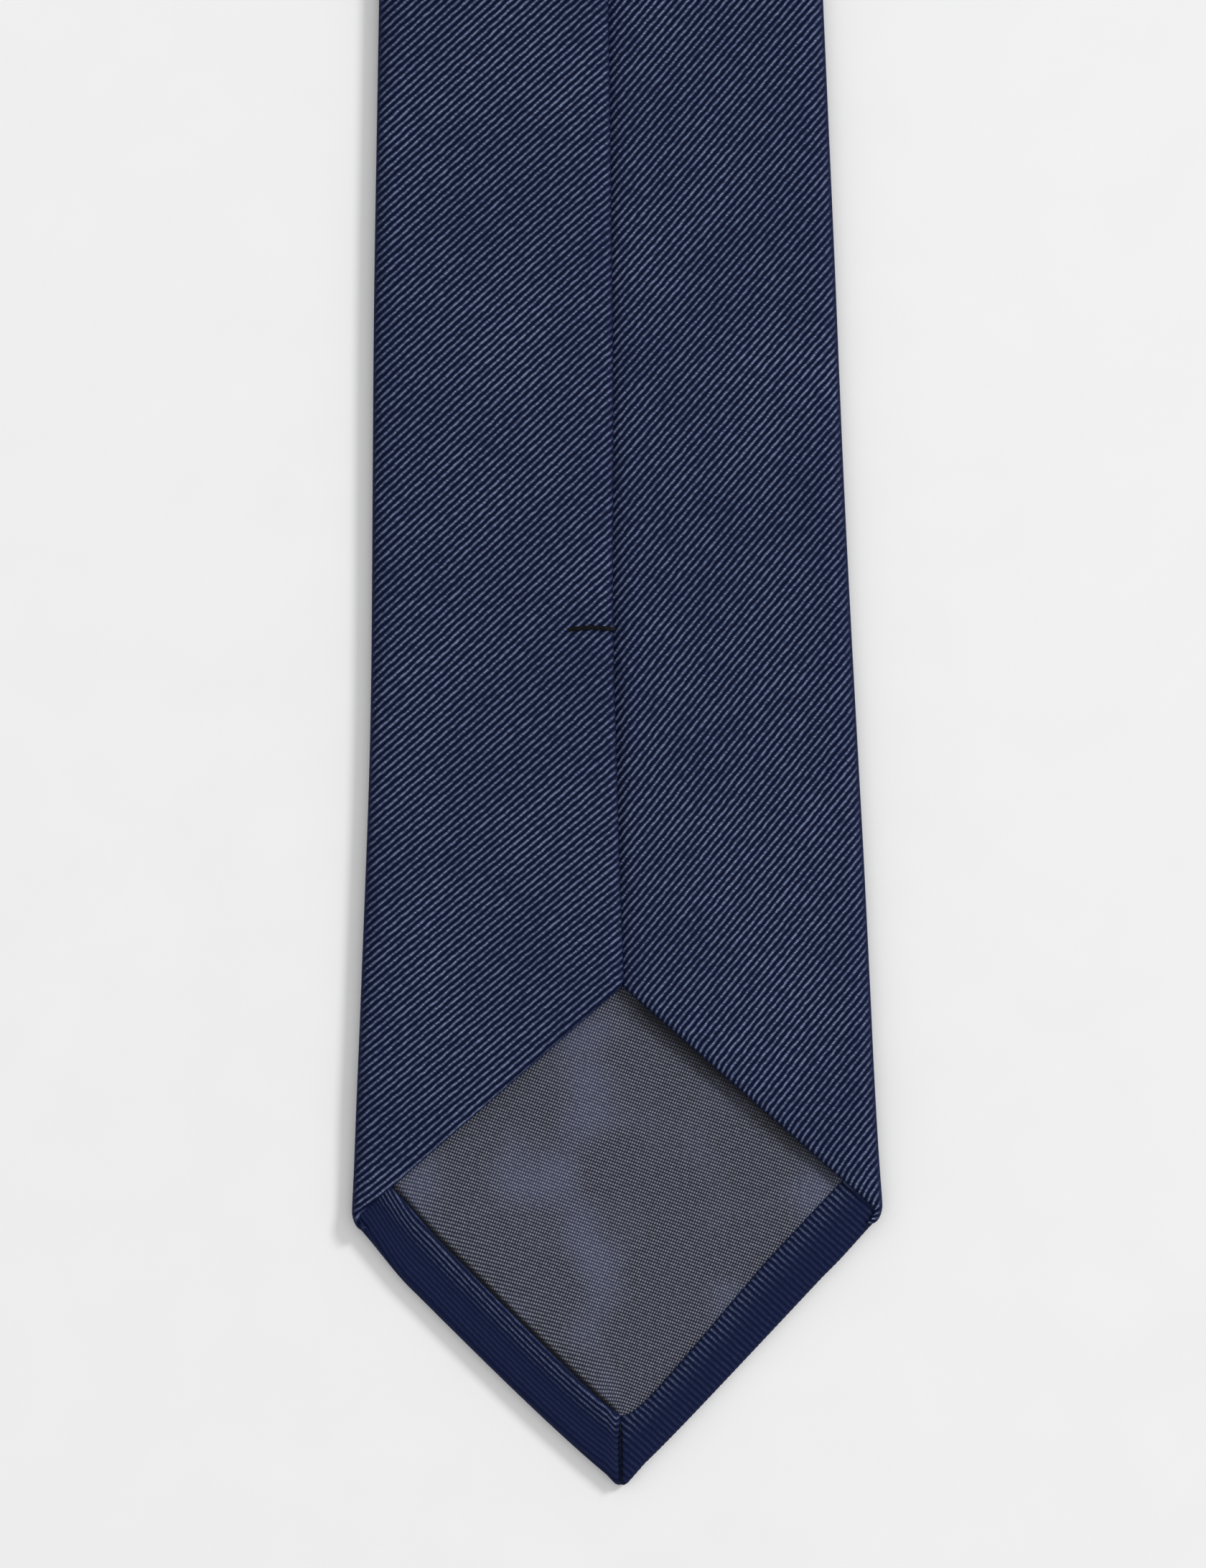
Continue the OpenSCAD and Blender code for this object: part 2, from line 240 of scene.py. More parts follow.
# The hem's height, how far the roll of its folded edge reaches in, the steps across its flat part, the
# twill's pitch, and half the mitre's gap.
HEM_Z = 2.12
HEM_ROLL = 1.15
HEM_STEPS = 12
RIB = 0.88
MITRE_GAP = 0.08


def hem_swell(b, side, x, inset):
    """How far a hem lies outside its straight line. Its pressed edge bows out, more on the left than on
    the right, and the inner edge bows less, so the hem's width varies by a millimetre."""
    x = np.asarray(x, float) * FRONT["half"] / b["half"]
    if side < 0:
        outer = 1.65 * (1 - np.exp(-np.clip(x - 2, 0, None) / 9)) * (1 - 0.95 * smooth(31, 39.5, x))
        inner = 0.6 * (1 - np.exp(-x / 5)) * (1 - smooth(26, 34, x))
    else:
        outer = 0.6 * (1 - np.exp(-np.clip(x - 3.5, 0, None) / 5)) * (1 - smooth(32, 39, x))
        inner = 1.75 * (1 - np.exp(-x / 2.5)) * np.clip(1 - x / 22.5, 0, 1)
    share = min(inset / b["hem"], 1.0)
    return (outer * (1 - share) + inner * share) * b["half"] / FRONT["half"]


def tip_plan(b, side, u, inset):
    """Points along a line that runs inset from the tip's slanted edge: u is 0 on the mitre and 1 under the
    side fold. The tip itself is cut off blunt, a millimetre and a half wide."""
    slope = math.atan2(b["corner_y"], b["half"])
    reach = b["half"] - 0.8 - 0.25 * inset
    x = MITRE_GAP + (reach - MITRE_GAP) * np.asarray(u)
    edge = x * math.tan(slope) - 0.75 * math.exp(-inset / 3) * np.exp(-x / 6)
    soft = 0.3 + 0.15 * inset
    blunt = (edge + np.sqrt(edge ** 2 + soft ** 2)) / 2
    tucked = 0.9 * math.exp(-inset / 4) * smooth(0.75, 1, x / b["half"])
    y = blunt - tucked + (inset + CLOTH / 2 - hem_swell(b, side, x, inset)) / math.cos(slope)
    return np.stack([side * x, y], -1)


def hem_grid(b, side, us):
    """The turned-in hem along one edge of the tip: bottom of the fold, round it, in over the interlining
    to the edge that the tipping is sewn to, round that and under. It dips where the two hems meet."""
    slope = math.atan2(b["corner_y"], b["half"])
    tangent = np.array([side * math.cos(slope), math.sin(slope)])
    normal = np.array([side * math.sin(slope), -math.cos(slope)])
    start = tip_plan(b, side, us, HEM_ROLL)
    # The ridge along the hem's inner edge, and how deep and how wide that edge rolls under.
    ridge, deep, wide = (0.34, 0.3, 0.5) if side < 0 else (0.1, 0.18, 0.4)
    rib_turn = us * b["half"] / math.cos(slope) / RIB
    scallop = 0.06 * np.abs(np.sin(np.pi * rib_turn)) if side > 0 else 0 * us
    inner = b["hem"] - wide
    at_mitre = 0.6 * np.exp(-us * b["half"] / 0.5)
    columns = []
    for k in range(ROLL_STEPS + 1):
        turn = math.pi * (k / ROLL_STEPS - 0.5)
        plan = tip_plan(b, side, us, HEM_ROLL * (1 - math.cos(turn)))
        plan = plan + normal * (scallop * math.cos(turn))[:, None]
        z = FACE_Z + (HEM_Z - at_mitre - FACE_Z) * (1 + math.sin(turn)) / 2
        columns.append(np.column_stack([plan, z]))
    for k in range(1, HEM_STEPS + 1):
        share = k / HEM_STEPS
        plan = tip_plan(b, side, us, HEM_ROLL + (inner - HEM_ROLL) * share)
        z = HEM_Z - at_mitre - 0.1 * math.sin(math.pi * share) + ridge * float(smooth(0.5, 0.9, share))
        z = z + 0.05 * ripple(plan[:, 0] * 2, plan[:, 1] * 2, 4.0 + side)
        columns.append(np.column_stack([plan, z]))
    rim = columns[-1][:, 2]
    for k in range(1, TURN_STEPS + 1):
        turn = math.pi * (0.5 - k / TURN_STEPS)
        plan = tip_plan(b, side, us, inner + wide * math.cos(turn))
        columns.append(np.column_stack([plan, rim - deep + deep * math.sin(turn)]))
    for k in range(1, UNDER_STEPS + 1):
        plan = tip_plan(b, side, us, inner - 2.0 * k / UNDER_STEPS)
        columns.append(np.column_stack([plan, rim - 2 * deep + 0.1 * k / UNDER_STEPS]))
    points = np.stack(columns, 1)
    cloth = unrolled(points, start, normal[None], tangent[None])
    # Painted sheen on the hem: faint over the outer roll, stronger towards the inner edge.
    flat_share = np.clip((np.arange(points.shape[1]) - ROLL_STEPS) / HEM_STEPS, 0, 1)
    least, gain, start, end = (0.05, 0.5, 0.55, 0.85) if side < 0 else (0.08, 0.4, 0.4, 1)
    lustre = least + gain * smooth(start, end, flat_share)
    return points, cloth, np.broadcast_to(lustre, points.shape[:2])


FACE_STEPS = 14


def face_grid(left, right):
    """The face between the bottoms of two side folds or hems."""
    share = np.linspace(0, 1, FACE_STEPS + 1)[None, :, None]
    points = left[:, None] * (1 - share) + right[:, None] * share
    return points, points[:, :, :2].copy()


def levelness(points):
    """How squarely each spot of a grid faces up or down, from 0 to 1."""
    across, along = np.gradient(points, axis=1), np.gradient(points, axis=0)
    n = np.cross(across, along)
    return np.abs(n[..., 2]) / np.maximum(np.linalg.norm(n, axis=-1), 1e-9)


def cloth_object(name, grids, place, thickness, material):
    """Joins grids of (points, places in the flat cloth, outward side, painted light) into one sheet with the
    cloth's thickness. UV map "cloth" is each spot's place in the flat cloth, in metres. The second UV map is
    painted light: high where painted highlights show, low for painted shade; it falls where the cloth turns
    over an edge, away from facing up."""
    verts, faces, cloth, painted_values, count = [], [], [], [], 0
    for points, flat, flip, *lustre in grids:
        rows, columns = points.shape[:2]
        i, j = np.meshgrid(np.arange(rows - 1), np.arange(columns - 1), indexing="ij")
        a = count + i * columns + j
        quads = np.stack([a, a + 1, a + columns + 1, a + columns], -1).reshape(-1, 4)
        faces.append(quads[:, ::-1] if flip else quads)
        verts.append(points.reshape(-1, 3))
        cloth.append(flat.reshape(-1, 2) / 1000)
        # Painted light: falls off as a spot turns away from facing up.
        level = smooth(0.6, 0.97, levelness(points))
        painted_values.append((level * lustre[0] if lustre else level).reshape(-1))
        count += rows * columns
    verts, faces = place(np.concatenate(verts)), np.concatenate(faces)
    cloth, painted_values = np.concatenate(cloth), np.concatenate(painted_values)
    mesh = bpy.data.meshes.new(name)
    mesh.from_pydata(verts.tolist(), [], faces.tolist())
    corners = faces.reshape(-1)
    mesh.uv_layers.new(name="cloth").data.foreach_set("uv", cloth[corners].astype(np.float32).reshape(-1))
    both = np.stack([painted_values, painted_values], -1)[corners]
    mesh.uv_layers.new(name="lustre").data.foreach_set("uv", both.astype(np.float32).reshape(-1))
    made = bmesh.new()
    made.from_mesh(mesh)
    bmesh.ops.remove_doubles(made, verts=made.verts, dist=2e-6)
    bmesh.ops.dissolve_degenerate(made, edges=made.edges, dist=1e-6)
    made.to_mesh(mesh)
    made.free()
    piece = new_piece(name, mesh, material)
    solid = piece.modifiers.new("thickness", "SOLIDIFY")
    solid.thickness = thickness / 1000
    solid.offset = 0
    seen = piece.evaluated_get(bpy.context.evaluated_depsgraph_get())
    piece.data = bpy.data.meshes.new_from_object(seen)
    piece.modifiers.clear()
    return finish_shading(piece)


def new_piece(name, mesh, material):
    piece = bpy.data.objects.new(name, mesh)
    bpy.context.collection.objects.link(piece)
    mesh.materials.append(material)
    bpy.context.view_layer.update()
    return piece


SHARP_RIM = math.radians(62)


def finish_shading(piece):
    """Smooth shading up to the sharp rims."""
    piece.data.shade_smooth()
    piece.data.set_sharp_from_angle(angle=SHARP_RIM)
    return piece


def belong(piece, body, slot, *nodes):
    """Fixes a piece to its body and hides the CAD nodes that it stands for; slot is not used."""
    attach(piece, body)
    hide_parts(*nodes)


def linear(code):
    """An sRGB hex colour as linear red, green, blue and alpha."""
    parts = [int(code[i:i + 2], 16) / 255 for i in (1, 3, 5)]
    return [c / 12.92 if c <= 0.04045 else ((c + 0.055) / 1.055) ** 2.4 for c in parts] + [1.0]


def add(tree, kind, links=None, **settings):
    """Adds a shader node with its settings, and sets or links its inputs."""
    made = tree.nodes.new("ShaderNode" + kind)
    for name, value in settings.items():
        setattr(made, name, value)
    for name, value in (links or {}).items():
        if isinstance(value, bpy.types.NodeSocket):
            tree.links.new(value, made.inputs[name])
        else:
            made.inputs[name].default_value = value
    return made


def new_material(name):
    """A material with an empty node tree."""
    material = bpy.data.materials.new(name)
    material.use_nodes = True
    material.node_tree.nodes.clear()
    return material, material.node_tree


def cloth_mm(t):
    """Each spot's place in the flat cloth, in millimetres."""
    place = add(t, "UVMap", uv_map="cloth")
    return add(t, "VectorMath", {0: place.outputs["UV"], 1: (1000, 1000, 1000)}, operation="MULTIPLY")


def painted_light_uv(t):
    """The painted light at each spot, as X: high where painted highlights show, low where painted shade is
    laid.
    """
    worn = add(t, "UVMap", uv_map="lustre")
    return add(t, "SeparateXYZ", {"Vector": worn.outputs["UV"]})


# Pitch of the floats along a rib.
BEAD = 0.278


def ribbed_silk(name, valley_shade, body, bead_highlight):
    """Silk, yarn dyed and woven as a fat twill: round navy ribs 0.88 mm apart. The chain of small light
    floats along each crest, every one a little different, is a painted highlight, and the dark valleys
    between are painted shade in the grooves; both fade where the painted-light map is low."""
    material, t = new_material(name)
    mm = cloth_mm(t)
    wander = add(t, "TexNoise", {"Vector": mm.outputs[0], "Scale": 0.7, "Detail": 2.0},
                 noise_dimensions="2D")
    bias = 1 / math.sqrt(2)
    across = add(t, "VectorMath", {0: mm.outputs[0], 1: (bias / RIB, bias / RIB, 0)},
                 operation="DOT_PRODUCT")
    along = add(t, "VectorMath", {0: mm.outputs[0], 1: (-bias / BEAD, bias / BEAD, 0)},
                operation="DOT_PRODUCT")
    waver = add(t, "Math", {0: wander.outputs[0], 1: 0.3, 2: across.outputs["Value"]},
                operation="MULTIPLY_ADD")
    rib_number = add(t, "Math", {0: waver.outputs[0]}, operation="FLOOR")
    phase = add(t, "Math", {0: waver.outputs[0]}, operation="FRACT")
    half_turn = add(t, "Math", {0: phase.outputs[0], 1: math.pi}, operation="MULTIPLY")
    hump = add(t, "Math", {0: half_turn.outputs[0]}, operation="SINE")
    crest = add(t, "Math", {0: hump.outputs[0], 1: 8.0}, operation="POWER")
    stagger = add(t, "Math", {0: rib_number.outputs[0], 1: 0.5, 2: along.outputs["Value"]},
                  operation="MULTIPLY_ADD")
    slanted = add(t, "Math", {0: phase.outputs[0], 1: 1.1, 2: stagger.outputs[0]},
                  operation="MULTIPLY_ADD")
    bead_number = add(t, "Math", {0: slanted.outputs[0]}, operation="FLOOR")
    cell = add(t, "CombineXYZ", {"X": rib_number.outputs[0], "Y": bead_number.outputs[0]})
    luck = add(t, "TexWhiteNoise", {"Vector": cell.outputs[0]}, noise_dimensions="2D")
    turn = add(t, "Math", {0: slanted.outputs[0], 1: 2 * math.pi}, operation="MULTIPLY")
    wave = add(t, "Math", {0: turn.outputs[0]}, operation="COSINE")
    float_shape = add(t, "Math", {0: wave.outputs[0], 1: -0.36, 2: 0.6}, operation="MULTIPLY_ADD")
    float_light = add(t, "Math", {0: luck.outputs["Value"], 1: 0.5, 2: 0.27},
                      operation="MULTIPLY_ADD")
    shaped = add(t, "Math", {0: crest.outputs[0], 1: float_shape.outputs[0]}, operation="MULTIPLY")
    lit = add(t, "Math", {0: shaped.outputs[0], 1: float_light.outputs[0]}, operation="MULTIPLY")
    # Painted highlight on the floats, scaled by the painted-light map and by random sheen patches; where the
    # map is low the painted valley shade is weaker too.
    painted_share = painted_light_uv(t)
    sheen_patches = add(t, "TexNoise", {"Vector": mm.outputs[0], "Scale": 0.045, "Detail": 2.0},
                  noise_dimensions="2D")
    patchy = add(t, "MapRange", {"Value": sheen_patches.outputs[0], "From Min": 0.3, "From Max": 0.7,
                                           "To Min": 0.8, "To Max": 1.15})
    strength = add(t, "Math", {0: painted_share.outputs["X"], 1: patchy.outputs[0]}, operation="MULTIPLY")
    bead_highlight_share = add(t, "Math", {0: lit.outputs[0], 1: strength.outputs[0]},
                     operation="MULTIPLY", use_clamp=True)
    depth = add(t, "MapRange", {"Value": painted_share.outputs["X"], "From Max": 0.6, "To Min": 0.35})
    ribbed = add(t, "Mix", {0: depth.outputs[0], 2: 0.85, 3: hump.outputs[0]})
    ground = add(t, "Mix", {0: ribbed.outputs[0], 6: linear(valley_shade), 7: linear(body)},
                 data_type="RGBA")
    colour = add(t, "Mix", {0: bead_highlight_share.outputs[0], 6: ground.outputs[2], 7: linear(bead_highlight)},
                 data_type="RGBA")
    height = add(t, "Math", {0: shaped.outputs[0], 1: 0.35, 2: hump.outputs[0]},
                 operation="MULTIPLY_ADD")
    bump = add(t, "Bump", {"Height": height.outputs[0], "Strength": 0.5, "Distance": 0.00016})
    shader = add(t, "BsdfPrincipled",
                 {"Base Color": colour.outputs[2], "Roughness": 0.5, "Specular IOR Level": 0.04,
                  "Normal": bump.outputs[0]})
    add(t, "OutputMaterial", {"Surface": shader.outputs[0]})
    return material


# Colours: painted shade in the grooves between ribs, the navy body, and the painted highlight on the floats.
NAVY_TWILL = ribbed_silk("navy silk twill, woven", "#04081c", "#161f41", "#a5b5d9")


def blade_rows(b):
    """Row heights up the blade: closest at the rounded corner, wider apart far up it."""
    low, tack, top = b["corner_y"] - NOSE_DROP, b["tack_y"], b["join_y"]
    nose = low + NOSE_HIGH * (1 - np.cos(np.linspace(0, math.pi / 2, 8)))
    first = np.linspace(low + NOSE_HIGH, tack, int((tack - low) / 1.2) + 1)[1:]
    middle = np.linspace(tack, tack + 110, 74)[1:]
    last = np.linspace(tack + 110, top, int((top - tack - 110) / 4.5) + 1)[1:]
    return np.concatenate([nose, first, middle, last])


# Slope of the slanted seams between the blades and the neck piece.
JOIN_SLOPE = math.tan(math.radians(42))


def blade_shell(b):
    """All grids of one blade's shell, and of its left and right flaps."""
    us = np.linspace(0, 1, 6 * int(b["half"]) + 1) ** 1.15
    ys = blade_rows(b)
    skew = JOIN_SLOPE * smooth(b["join_y"] - 60, b["join_y"], ys)
    low = slice(0, int(np.argmin(np.abs(ys - b["tack_y"]))) + 1)
    high = slice(low.stop - 1, None)
    shell, flaps, tips, folds = [], [], [], []
    for side in (-1, 1):
        hem, hem_cloth, hem_painted_light = hem_grid(b, side, us)
        points, cloth = side_grid(b, side, ys, skew)
        flip = side > 0
        shell.append((hem, hem_cloth, flip, hem_painted_light))
        shell.append((points[low, :HINGE_COLUMN + 1], cloth[low, :HINGE_COLUMN + 1], flip))
        shell.append((points[high], cloth[high], flip))
        flaps.append((points[low, HINGE_COLUMN:], cloth[low, HINGE_COLUMN:], flip))
        tips.append(hem[:, 0])
        folds.append(points[:, 0])
    # The tip's face stops just below the side folds, and a strip joins it to the face above.
    under = min(int((tip[:, 1] < folds[0][0, 1] - 0.2).sum()) for tip in tips)
    shell.append((*face_grid(*(tip[:under] for tip in tips)), True))
    shell.append((*face_grid(*folds), True))
    shell.append((*face_grid(*(np.stack([tip[under - 1], fold[0]]) for tip, fold in zip(tips, folds))), True))
    return shell, flaps


shell_grids, flap_grids = blade_shell(FRONT)
front_shell = cloth_object("front_shell_silk", shell_grids, in_front, CLOTH, NAVY_TWILL)
belong(front_shell, "front", "shell_silk", "front_shell")

# Each flap is a piece of its own, from the hinge line to its inner edge, taken from the wrap's grid below the
# bar tack.
for side, name, grid in ((-1, "left_flap", flap_grids[0]), (1, "right_flap", flap_grids[1])):
    flap = cloth_object(name + "_silk", [grid], in_front, CLOTH, NAVY_TWILL)
    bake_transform(flap)
    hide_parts(name)

# ---------------------------------------------------------------------------------------------
# FRONT INTERLINING. A slab of wool and cotton felt inside the shell, which gives the tie its
# body. It is cut like the blade, a little smaller, and only laid in, held by the slip stitch.
# ---------------------------------------------------------------------------------------------


def loft(name, rings, place, material):
    """A closed solid through equal closed rings of points, with flat ends."""
    rings = np.asarray(rings, float)
    count, around = rings.shape[:2]
    i, j = np.meshgrid(np.arange(count - 1), np.arange(around), indexing="ij")
    a, b = i * around + j, i * around + (j + 1) % around
    faces = np.stack([a, b, b + around, a + around], -1).reshape(-1, 4).tolist()
    faces += [list(range(around))[::-1], list(range((count - 1) * around, count * around))]
    mesh = bpy.data.meshes.new(name)
    mesh.from_pydata(place(rings.reshape(-1, 3)).tolist(), [], faces)
    made = bmesh.new()
    made.from_mesh(mesh)
    bmesh.ops.recalc_face_normals(made, faces=made.faces)
    made.to_mesh(mesh)
    made.free()
    return finish_shading(new_piece(name, mesh, material))


def wool_felt(name, pale, dark):
    """Brushed wool and cotton interlining: matt off-white felt with fine tangled hairs."""
    material, t = new_material(name)
    place = add(t, "TexCoord")
    fibres = add(t, "TexNoise", {"Vector": place.outputs["Object"], "Scale": 900.0, "Detail": 5.0,
                                           "Roughness": 0.7, "Distortion": 1.5})
    clouds = add(t, "TexNoise", {"Vector": place.outputs["Object"], "Scale": 60.0, "Detail": 2.0})
    both = add(t, "Math", {0: fibres.outputs[0], 1: clouds.outputs[0]}, operation="MULTIPLY")
    share = add(t, "MapRange", {"Value": both.outputs[0], "From Min": 0.12, "From Max": 0.4})
    colour = add(t, "Mix", {0: share.outputs[0], 6: linear(dark), 7: linear(pale)}, data_type="RGBA")
    bump = add(t, "Bump", {"Height": fibres.outputs[0], "Strength": 0.6, "Distance": 0.0002})
    shader = add(t, "BsdfPrincipled",
                 {"Base Color": colour.outputs[2], "Roughness": 0.95, "Specular IOR Level": 0.1,
                  "Sheen Weight": 0.3, "Normal": bump.outputs[0]})
    add(t, "OutputMaterial", {"Surface": shader.outputs[0]})
    return material


WOOL_FELT = wool_felt("off-white wool felt interlining", "#d9d3c6", "#9d968a")
FELT_Z = FACE_Z + CLOTH / 2 + 0.06
FELT_AROUND = 32


def interlining_rings(b):
    """Cross-sections of the felt: pointed to fit the tip, thicker above the tipping."""
    slope = math.atan2(b["corner_y"], b["half"])
    rings = []
    for y in np.concatenate([np.linspace(3, 60, 39), np.linspace(64, b["end_y"] - 3, 120)]):
        half = min((y - 2.2 / math.cos(slope)) / math.tan(slope), half_width(b, max(y, b["corner_y"])) - 1.9)
        top = 1.42 + 0.75 * float(smooth(b["lining_y"], b["lining_y"] + 20, y))
        middle, deep = (FELT_Z + top) / 2, (top - FELT_Z) / 2
        turns = np.linspace(0, 2 * math.pi, FELT_AROUND, endpoint=False)
        x = np.sign(np.cos(turns)) * np.maximum(half - deep + deep * np.abs(np.cos(turns)), 0.05)
        z = middle + deep * np.sign(np.sin(turns)) * np.abs(np.sin(turns)) ** 0.5
        rings.append(np.stack([x, np.full(FELT_AROUND, y), z], -1))
    return rings


front_felt = loft("front_interlining_felt", interlining_rings(FRONT), in_front, WOOL_FELT)
belong(front_felt, "front", "interlining_wool", "front_interlining")

# ---------------------------------------------------------------------------------------------
# FRONT TIPPING. A charcoal dobby lining with a fine raised dot, which fills the inside of the tip.
# It is felled to the hem with slip stitches, so it puckers a little along it, and turns up where
# it goes under the lower flap.
# ---------------------------------------------------------------------------------------------
# The two sets of dot rows: millimetres between rows, and the rows' heading in degrees.
DOT_ROWS = ((0.382, 67.5), (0.488, 159.5))
LINING_CLOTH = 0.2


def dotted_lining(name, ground, dot, satin, shade):
    """Viscose dobby lining: small pale dots where two sets of yarns cross, 0.4 to 0.5 mm apart, on a dark
    ground, with soft bluish patches of painted sheen laid by noise. It goes nearly black, as painted shade,
    where the painted-light map is low: in the crease along the left hem, under the lower panel's mouth and
    where it turns from facing up."""
    material, t = new_material(name)
    mm = cloth_mm(t)
    rows = []
    for pitch, heading in DOT_ROWS:
        normal = math.radians(heading - 90)
        turns = 2 * math.pi / pitch
        run = add(t, "VectorMath",
                  {0: mm.outputs[0], 1: (turns * math.cos(normal), turns * math.sin(normal), 0)},
                  operation="DOT_PRODUCT")
        wave = add(t, "Math", {0: run.outputs["Value"]}, operation="COSINE")
        rows.append(add(t, "Math", {0: wave.outputs[0], 1: 0.5, 2: 0.5}, operation="MULTIPLY_ADD"))
    crossing = add(t, "Math", {0: rows[0].outputs[0], 1: rows[1].outputs[0]}, operation="MULTIPLY")
    dots = add(t, "Math", {0: crossing.outputs[0], 1: 1.1}, operation="POWER")
    mottle = add(t, "TexNoise", {"Vector": mm.outputs[0], "Scale": 1.4, "Detail": 3.0},
                 noise_dimensions="2D")
    uneven = add(t, "MapRange", {"Value": mottle.outputs[0], "From Min": 0.3, "From Max": 0.7,
                                           "To Min": 0.65, "To Max": 1.15})
    dot_share = add(t, "Math", {0: dots.outputs[0], 1: uneven.outputs[0]}, operation="MULTIPLY",
                    use_clamp=True)
    sheen_patches = add(t, "TexNoise", {"Vector": mm.outputs[0], "Scale": 0.075, "Detail": 1.0},
                  noise_dimensions="2D")
    sheen_patch_share = add(t, "MapRange", {"Value": sheen_patches.outputs[0], "From Min": 0.45, "From Max": 0.75,
                                                "To Min": 0.0, "To Max": 0.85})
    # The satin colour is painted sheen, laid on in soft random patches.
    plain = add(t, "Mix", {0: sheen_patch_share.outputs[0], 6: linear(ground), 7: linear(satin)},
                data_type="RGBA")
    colour = add(t, "Mix", {0: dot_share.outputs[0], 6: plain.outputs[2], 7: linear(dot)},
                 data_type="RGBA")
    bump = add(t, "Bump", {"Height": crossing.outputs[0], "Strength": 0.4, "Distance": 0.00008})
    painted_share = painted_light_uv(t)
    # Painted shade: the lining darkens to the shade colour where the painted-light map is low.
    seen = add(t, "Mix", {0: painted_share.outputs["X"], 6: linear(shade), 7: colour.outputs[2]},
               data_type="RGBA")
    shader = add(t, "BsdfPrincipled",
                 {"Base Color": seen.outputs[2], "Roughness": 0.42, "Specular IOR Level": 0.12,
                  "Normal": bump.outputs[0]})
    add(t, "OutputMaterial", {"Surface": shader.outputs[0]})
    return material


# Colours: ground, dots, painted sheen of the bluish patches, painted shade.
CHARCOAL_LINING = dotted_lining("charcoal dotted lining, woven", "#1d1f2b", "#989bab", "#383d54", "#08090d")
LINING_STEPS = 136
LINING_ROW = 0.55


def tipping_grid(b):
    """The tipping as a sheet over the felt, from under the hems up under the panels."""
    slope = math.atan2(b["corner_y"], b["half"])
    # The sheet's sides reach under the hems' inner edges, and its low end a little way under the mitre.
    tuck = b["hem"] - 2.6
    low = (b["hem"] - 1.0) / math.cos(slope)
    ys = np.linspace(low, b["lining_y"], int((b["lining_y"] - low) / LINING_ROW))
    wedge = (ys - tuck / math.cos(slope)) / math.tan(slope)
    wide = np.minimum(wedge, half_width(b, np.maximum(ys, b["corner_y"])) - 3.4)
    x = wide[:, None] * np.linspace(-1, 1, LINING_STEPS + 1)[None]
    y = np.repeat(ys[:, None], LINING_STEPS + 1, 1)
    bowed = np.where(x < 0, *(hem_swell(b, side, np.abs(x), b["hem"]) for side in (-1, 1)))
    from_hem = y * math.cos(slope) - np.abs(x) * math.sin(slope) - b["hem"] + bowed
    low_side = -b["upper"]
    near_left = np.exp(-np.clip(from_hem, 0, None) / 3.5) * smooth(1, -4, x)
    pucker = np.sin(1.15 * (y * math.sin(slope) + np.abs(x) * math.cos(slope))) * near_left
    rise = (b["mouth_y"] - b["corner_y"]) / b["half"]
    below = (b["mouth_y"] - rise * np.abs(x) - y) / math.hypot(1, rise)
    turned_up = smooth(4.2, -1.0, below) * smooth(0, 4, low_side * x) * smooth(0, 6, from_hem)
    z = 1.74 + 0.16 * smooth(0.5, 5, from_hem) + 0.1 * ripple(2.2 * x, 2.4 * y, 0.4)
    z = z + 0.09 * pucker + 0.75 * turned_up + 0.14 * smooth(0.5, -1.5, from_hem) * smooth(-1, 1, x)
    pulled = 1.3 * smooth(1, -4, x) * np.exp(-np.clip(from_hem, 0, None) / 4)
    # Painted shadow of the lower panel's mouth on the tipping, and painted shade in the crease under the left
    # hem's lip; both go into the painted-light values that darken the lining.
    near_mouth = 0.5 * smooth(2.6, 1.9, below) + 0.38 * smooth(1.3, 0.3, below)
    under_flap_shadow = near_mouth * smooth(-2, 5, low_side * x)
    shadow = under_flap_shadow * smooth(-1, 3, from_hem)
    hem_crease_shade = 0.97 * smooth(1.35, 0.75, from_hem) * smooth(0.5, -1, x)
    points, cloth = np.stack([x, y, z], -1), np.stack([x, y + pulled], -1)
    return points, cloth, False, (1 - shadow) * (1 - hem_crease_shade)


front_tipping = cloth_object("front_tipping_lining", [tipping_grid(FRONT)], in_front, LINING_CLOTH,
                             CHARCOAL_LINING)
belong(front_tipping, "front", "tipping", "front_tipping")

# ---------------------------------------------------------------------------------------------
# FRONT STITCHING. Black twisted thread: a bar tack that holds the two panels together above the
# mouth, small stitches down the mitre, fell stitches round the tipping, the long slip stitch
# under the upper panel, and the seam that joins the blade to the neck piece.
# ---------------------------------------------------------------------------------------------


def spun_thread(name, dark, light):
    """Spun polyester or silk sewing thread: two plies, slightly glossy, with a faint fuzz."""
    material, t = new_material(name)
    place = add(t, "TexCoord")
    fuzz = add(t, "TexNoise", {"Vector": place.outputs["Object"], "Scale": 4000.0, "Detail": 3.0})
    colour = add(t, "Mix", {0: fuzz.outputs[0], 6: linear(dark), 7: linear(light)}, data_type="RGBA")
    bump = add(t, "Bump", {"Height": fuzz.outputs[0], "Strength": 0.4, "Distance": 0.00005})
    shader = add(t, "BsdfPrincipled",
                 {"Base Color": colour.outputs[2], "Roughness": 0.55, "Specular IOR Level": 0.12,
                  "Normal": bump.outputs[0]})
    add(t, "OutputMaterial", {"Surface": shader.outputs[0]})
    return material


BLACK_THREAD = spun_thread("black tacking thread, spun", "#020304", "#0a0c0e")
NAVY_THREAD = spun_thread("dark navy sewing thread, spun", "#080c1c", "#252e48")
THREAD_SIDES = 10
PLY_RELIEF = 0.12


